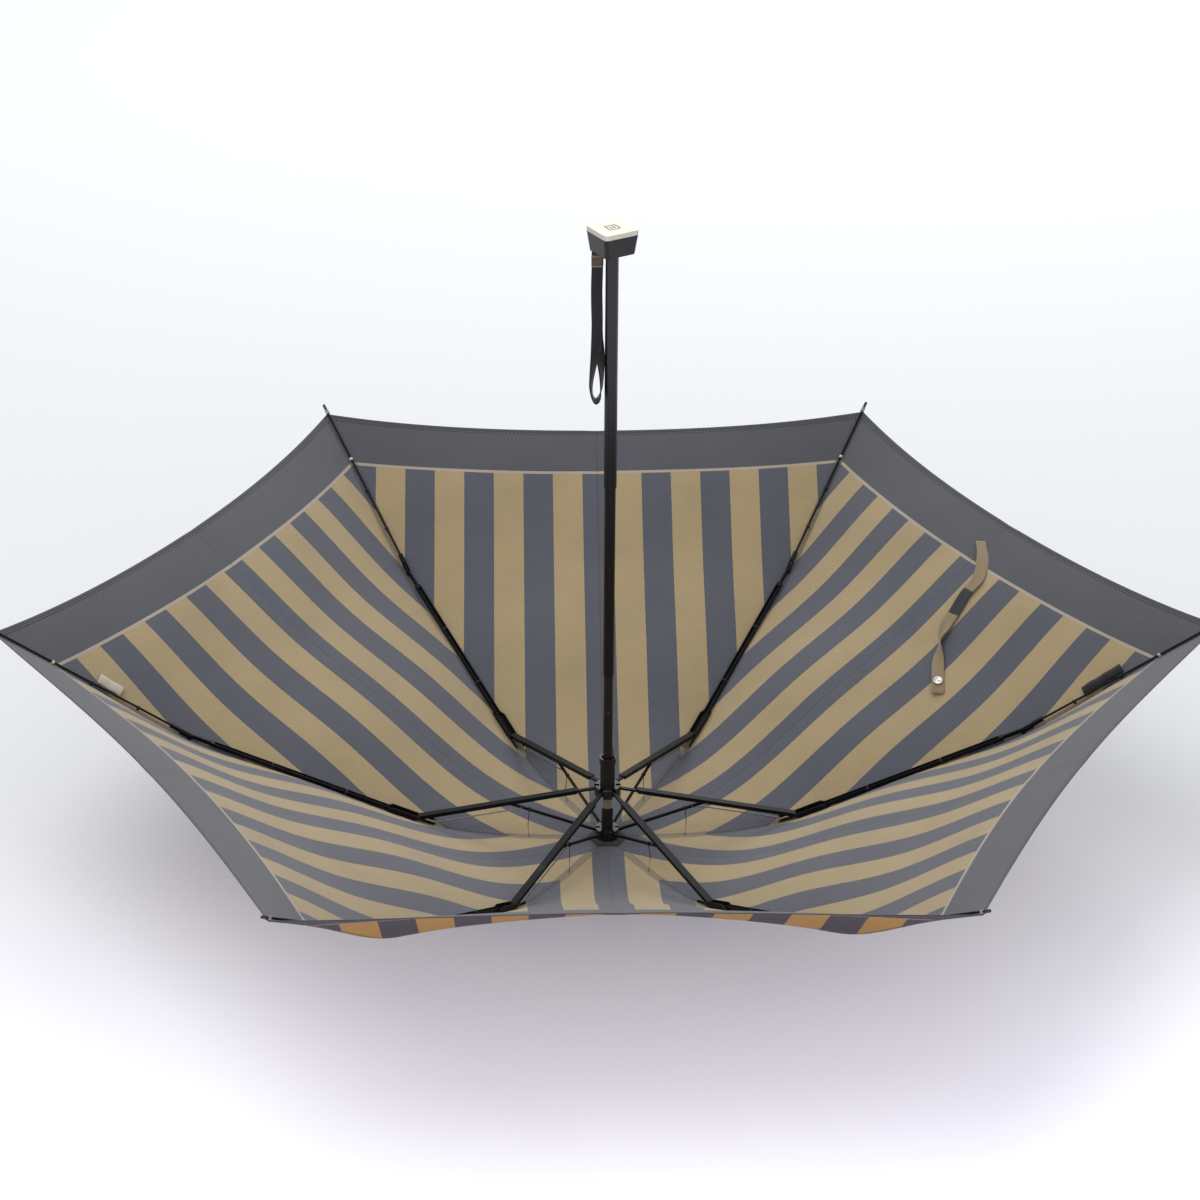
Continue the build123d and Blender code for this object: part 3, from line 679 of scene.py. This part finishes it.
# ---- tapes: closure strap, labels and wrist strap ------------------------------------------------
def tape(name, centres, sides, width, thick, materials, slots=None, columns=7, cupped=0.0):
    """Closed woven tape along centre points, with its width along the side vectors and a rounded edge."""
    centres, sides = [Vector(c) for c in centres], [Vector(s).normalized() for s in sides]
    rows = len(centres)
    profile = [(-1 + 2 * j / (columns - 1), 0.5) for j in range(columns)] + [(1.03, 0.0)]
    profile += [(1 - 2 * j / (columns - 1), -0.5) for j in range(columns)] + [(-1.03, 0.0)]
    points, cut, run = [], [], 0.0
    for k in range(rows):
        along = (centres[min(k + 1, rows - 1)] - centres[max(k - 1, 0)]).normalized()
        side = (sides[k] - sides[k].dot(along) * along).normalized()
        face = along.cross(side)
        run += (centres[k] - centres[k - 1]).length if k else 0.0
        for across, level in profile:
            bow = cupped * (1 - across**2)
            points.append(centres[k] + side * (across * width / 2) + face * (level * thick + bow))
            cut.append((across * width / 2, run))
    around = len(profile)
    faces = ring_faces(rows, around) + end_caps(rows, around)
    chosen = [slots(k / (rows - 1)) if slots else 0 for k in range(rows - 1) for _ in range(around)]
    chosen += [slots(0.0) if slots else 0, slots(1.0) if slots else 0]
    return piece(name, points, faces, materials, chosen, {"cut": cut})


def smooth_path(knots, count):
    """Catmull-Rom points through the knots."""
    knots = [np.array(k, float) for k in knots]
    knots = [2 * knots[0] - knots[1], *knots, 2 * knots[-1] - knots[-2]]
    out = []
    for s in np.linspace(0, len(knots) - 3 - 1e-9, count):
        k, t = int(s), s - int(s)
        a, b, c, d = knots[k : k + 4]
        square, cube = 2 * a - 5 * b + 4 * c - d, 3 * b - a - 3 * c + d
        out.append(0.5 * (2 * b + (c - a) * t + square * t * t + cube * t**3))
    return out


def on_cloth(u, v, lift, gore=0):
    return Vector(cloth_point(gore, u, v, lift)[0])


# the closure strap: share of the seam, place across the gore, and millimetres over the cloth
tie_route = [
    (0.922, 0.034, 0.9), (0.89, -0.036, 1.6), (0.84, -0.117, 3.0), (0.795, -0.135, 3.6), (0.753, -0.167, 3.4),
    (0.716, -0.199, 3.6), (0.682, -0.259, 3.2), (0.647, -0.379, 3.0), (0.611, -0.526, 2.6),
]
tie_centres = [on_cloth(u, v, lift * MM) for u, v, lift in smooth_path(tie_route, 64)]
tie_sides = []
for k in range(64):
    run = tie_centres[min(k + 1, 63)] - tie_centres[max(k - 1, 0)]
    flat_side = run.cross(Vector((0, 0, 1))).normalized()
    twist = 1.35 * np.exp(-(((k / 63) - 0.74) / 0.09) ** 2)  # one turn onto its edge, near the free end
    tie_sides.append(Matrix.Rotation(float(twist), 3, run.normalized()) @ flat_side)
tie = tape(
    "tie_strap", tie_centres, tie_sides, 9.6 * MM, 0.7 * MM, [tie_ribbon, tie_dark],
    lambda s: 1 if 0.34 < s < 0.52 else 0, cupped=0.3 * MM,
)
fold_to_rib(tie, "outer_rib_1")
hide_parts("closure_strap")
declare_sheet(tie)

label_us = np.linspace(0.775, 0.845, 22)
dark_centres = [on_cloth(u, -0.963, (2.7 + 0.25 * sin(u * 240)) * MM) for u in label_us]
dark_sides = [(on_cloth(u, -0.94, 0) - on_cloth(u, -0.98, 0)) for u in label_us]
dark = tape("care_label_dark", dark_centres, dark_sides, 8.0 * MM, 0.5 * MM, [label_dark], cupped=0.9 * MM)
fold_to_rib(dark, "outer_rib_1")
pale_us = np.linspace(0.79, 0.832, 16)
pale_centres = [on_cloth(u, 0.957, (2.8 + 0.2 * sin(u * 300)) * MM, 2) for u in pale_us]
pale_sides = [(on_cloth(u, 0.98, 0, 2) - on_cloth(u, 0.93, 0, 2)) for u in pale_us]
pale = tape("care_label_pale", pale_centres, pale_sides, 8.5 * MM, 0.5 * MM, [label_pale], cupped=1.1 * MM)
fold_to_rib(pale, "outer_rib_4")
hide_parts("labels")
for made in (dark, pale):
    declare_sheet(made)


def snap_button():
    """Round press stud: rolled rim, dished face, on the tie's free end."""
    centre = on_cloth(0.628, -0.454, 3.2 * MM)
    along = (centre - on_cloth(0.647, -0.379, 3.2 * MM)).normalized()
    side = along.cross(Vector((0, 0, 1))).normalized()
    face = side.cross(along).normalized()
    profile = [
        (0.0, 1.15), (1.1, 1.15), (1.5, 0.95), (2.1, 0.95), (2.6, 1.5),
        (3.2, 1.75), (3.7, 1.4), (3.9, 0.7), (3.6, 0.0), (0.0, 0.0),
    ]
    points, sides = [], 28
    for r, h in profile:
        for s in range(sides):
            angle = 2 * pi * s / sides
            points.append(centre + MM * (r * (cos(angle) * along + sin(angle) * side) + h * face))
    faces = [face[::-1] for face in ring_faces(len(profile), sides)]
    return piece("snap_stud", points, faces, [snap_metal])


snap_metal = bright_steel("snap_metal", (0.82, 0.80, 0.76), 0.3)
stud = snap_button()
fold_to_rib(stud, "outer_rib_1")
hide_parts("closure_snap")

# the wrist strap: two strands of one tape from the leather keeper to a teardrop loop
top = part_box("wrist_strap")[1].z
strand = [
    (-10.4, -1.5, 0.0), (-10.4, -1.5, 12.0), (-10.7, -1.6, 30.0), (-10.3, -1.8, 48.0), (-10.5, -2.1, 62.0),
    (-11.6, -2.8, 76.0), (-13.6, -3.4, 92.0), (-14.4, -3.6, 101.0), (-13.6, -3.6, 109.0), (-11.2, -3.4, 113.2),
    (-8.6, -3.2, 111.0), (-7.0, -2.8, 104.0), (-6.9, -2.2, 92.0), (-8.0, -1.0, 78.0), (-9.8, 0.4, 66.0),
    (-10.4, 0.9, 50.0), (-10.8, 1.0, 30.0), (-10.5, 1.0, 12.0), (-10.5, 1.0, 0.0),
]
# degrees that the tape is turned about its run at each of those points
turns = [0, 0, 4, -10, 10, 38, 62, 74, 88, 90, 92, 80, 66, 40, 14, 6, -4, 0, 0]
path = smooth_path([(x * MM, y * MM, top - z * MM) for x, y, z in strand], 150)
angles = smooth_path([(a, 0.0) for a in turns], 150)
strap_sides = [(cos(radians(a)), sin(radians(a)), 0.12 * sin(radians(a))) for a, _ in angles]
strap = tape("wrist_loop", path, strap_sides, 7.8 * MM, 0.9 * MM, [strap_webbing], cupped=0.15 * MM)
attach(strap, "strap")
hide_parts("wrist_strap")
declare_sheet(strap)


def keeper():
    """Folded leather end that gathers the two strands under the handle, with its stitch rows."""
    rows, around = 15, 28
    points, cut = [], []
    for i in range(rows):
        t = i / (rows - 1)
        swell = 1 - 0.10 * (2 * t - 1) ** 6
        for s in range(around):
            angle = 2 * pi * s / around
            c, d = cos(angle), sin(angle)
            x = 4.3 * swell * np.sign(c) * abs(c) ** 0.5
            y = 2.2 * swell * np.sign(d) * abs(d) ** 0.6
            points.append(((STRAP_X + x) * MM, (-0.25 + y) * MM, top - (1.6 + 10.0 * t) * MM))
            cut.append((x * MM, t * 10.5 * MM))
    faces = ring_faces(rows, around) + end_caps(rows, around)
    return piece("strap_keeper", points, faces, [strap_leather], layers={"cut": cut})


made = keeper()
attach(made, "strap")
for row in (3.0, 10.2):
    for k in range(6):
        x = STRAP_X + (k - 2.5) * 1.3
        arch = ((x - 0.42, -2.45), (x, -2.62), (x + 0.42, -2.45))
        route = [(a * MM, b * MM, top - row * MM) for a, b in arch]
        stitch = tube(f"keeper_stitch_{int(row)}_{k}", route, 0.16 * MM, thread_pale)
        stitch.parent = made


# ---- threads, knots and the plate's emblem -------------------------------------------------------
def rib_point(rib, r, z, side=0.0):
    turn = rib * 2 * HALF
    return Vector((r * cos(turn) - side * sin(turn), r * sin(turn) + side * cos(turn), z))


def tie_loop(name, rib, place, angle, half_width, over, under, body, material=thread_black, wraps=3):
    """Thread wound round a rib and down through the cloth's seam."""
    along, high = (cos(angle), sin(angle)), (-sin(angle), cos(angle))
    path = []
    for k in range(wraps * 20 + 1):
        turn = 2 * pi * k / 20
        side = half_width * cos(turn)
        lift = over * sin(turn) if sin(turn) > 0 else under * sin(turn)
        slide = (k / 20 - wraps / 2) * 0.5 * MM
        r = place[0] + slide * along[0] + lift * high[0]
        z = place[1] + slide * along[1] + lift * high[1]
        path.append(rib_point(rib, r, z, side))
    made = tube(f"{name}_{rib + 1}", path, 0.28 * MM, material)
    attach(made, f"{body}_{rib + 1}")


def member(start, angle, distance):
    """Radius and height at a distance along a member of the rib."""
    return (start[0] + distance * cos(angle), start[1] + distance * sin(angle))


def beside(spot, angle, lift):
    """The same place, moved square to the member."""
    return (spot[0] - lift * sin(angle), spot[1] + lift * cos(angle))


# the ribs' pivots as radius and height, and the slopes of their three members
crown_pivot, elbow, outer_pivot = (0.007, 0.020), (0.14393, 0.03306), (0.31567, 0.10454)
top_slope, middle_slope, outer_slope = radians(20), radians(23.4), radians(32.7)
for rib in range(6):
    spot = member(crown_pivot, top_slope, 0.056)
    drop = spot[1] - seam_place(share_at(spot[0]))[1]
    tie_loop("tie_top", rib, spot, top_slope, 1.3 * MM, 1.5 * MM, 1.5 * MM, "top_rib")
    route = [
        rib_point(rib, spot[0], spot[1] - 1.4 * MM),
        rib_point(rib, spot[0] + 1.2 * MM, spot[1] - drop * 0.5, 0.8 * MM),
        rib_point(rib, spot[0] + 0.4 * MM, spot[1] - drop + 0.2 * MM),
    ]
    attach(tube(f"tie_tail_{rib + 1}", route, 0.3 * MM, thread_black), f"top_rib_{rib + 1}")
    for run in (60, 120):
        spot = beside(member(elbow, middle_slope, run * MM), middle_slope, -1.2 * MM)
        size = (2.35 * MM, 2.0 * MM, 2.4 * MM)
        tie_loop(f"tie_middle_{run}", rib, spot, middle_slope, *size, "middle_rib")
    for run in (45, 85, 118):
        spot = member(beside(outer_pivot, outer_slope, 1.8 * MM), outer_slope, run * MM)
        size = (1.15 * MM, 1.15 * MM, 2.1 * MM)
        finish = thread_pale if run == 118 else thread_black
        tie_loop(f"tie_outer_{run}", rib, spot, outer_slope, *size, "outer_rib", finish, 4)


def emblem():
    """Generic inlay: a dark square ring in the plate's groove and four small raised diamonds."""
    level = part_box("handle_plate")[1].z
    turn = radians(HANDLE_TURN)
    points, faces = [], []

    def ring(half_out, half_in, base, top_level):
        corners = 24
        for half, height in ((half_out, base), (half_out, top_level), (half_in, top_level), (half_in, base)):
            for k in range(corners):
                angle = 2 * pi * k / corners + pi / 4
                reach = half * 1.04 / (abs(cos(angle - pi / 4)) ** 9 + abs(sin(angle - pi / 4)) ** 9) ** (1 / 9)
                a = angle - pi / 4 + turn
                points.append((reach * cos(a) * MM, reach * sin(a) * MM, height))
        for band in range(4):
            for k in range(corners):
                n = (k + 1) % corners
                a, b = band * corners, (band + 1) % 4 * corners
                faces.append((a + k, a + n, b + n, b + k))

    ring(4.3, 3.72, level - 0.58 * MM, level - 0.30 * MM)
    made = piece("emblem_inlay", points, faces, [black_plastic])
    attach(made, "outer_tube")
    for k in range(4):
        angle = turn + k * pi / 2 + pi / 4
        x, y = 1.75 * cos(angle), 1.75 * sin(angle)
        rows = [(0.0, 0.28), (0.75, 0.22), (1.0, 0.0), (1.05, -0.05)]
        stud = []
        for r, h in rows:
            for s in range(4):
                a = turn + s * pi / 2
                stud.append(((x + r * cos(a)) * MM, (y + r * sin(a)) * MM, level + h * MM))
        quads = [face[::-1] for face in ring_faces(len(rows), 4)]
        diamond = piece(f"emblem_diamond_{k + 1}", stud, quads, [black_plastic])
        diamond.data.polygons.foreach_set("use_smooth", [False] * len(diamond.data.polygons))
        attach(diamond, "outer_tube")


emblem()


# ---- floor ---------------------------------------------------------------------------------------
def floor():
    """Paper sweep with painted light: it glows, violet and brightest in front under the object's shadow, and
    its colour is painted darker behind the object as shade.
    """
    finish = Finish("floor_paper", (0.83, 0.83, 0.85), 0.85, Specular_IOR_Level=0.2, Emission_Strength=1.0)
    point = finish.object_point()
    grain = finish.noise(point, 240.0, 3.0)
    _, depth, _ = finish.xyz(point)
    # painted light: emission lifts the floor most, and violet, in front where the object's shadow falls, least
    # in the middle, and a little, cooler, far behind; the base colour is painted darker from the middle back as
    # shade against the back lamp
    middle, far = finish.ramp(depth, -0.45, 0.15), finish.ramp(depth, 0.5, 2.2)
    painted_glow = finish.mix(middle, (0.42, 0.405, 0.50), (0.10, 0.10, 0.11))
    finish.set("Emission Color", finish.mix(far, painted_glow, (0.22, 0.24, 0.24)))
    tone = finish.mix(grain, (0.82, 0.825, 0.845), (0.86, 0.86, 0.875))
    finish.set("Base Color", finish.mix(finish.times(middle, 0.5), tone, (0.50, 0.51, 0.52)))
    finish.bump(grain, 0.05, 0.0002)
    n, half = 12, 9.0
    lines = [2 * half * i / n - half for i in range(n + 1)]
    points = [(x, y, -0.4 * MM) for x in lines for y in lines]
    made = piece("floor", points, grid_faces(n + 1, n + 1), [finish.material])


floor()
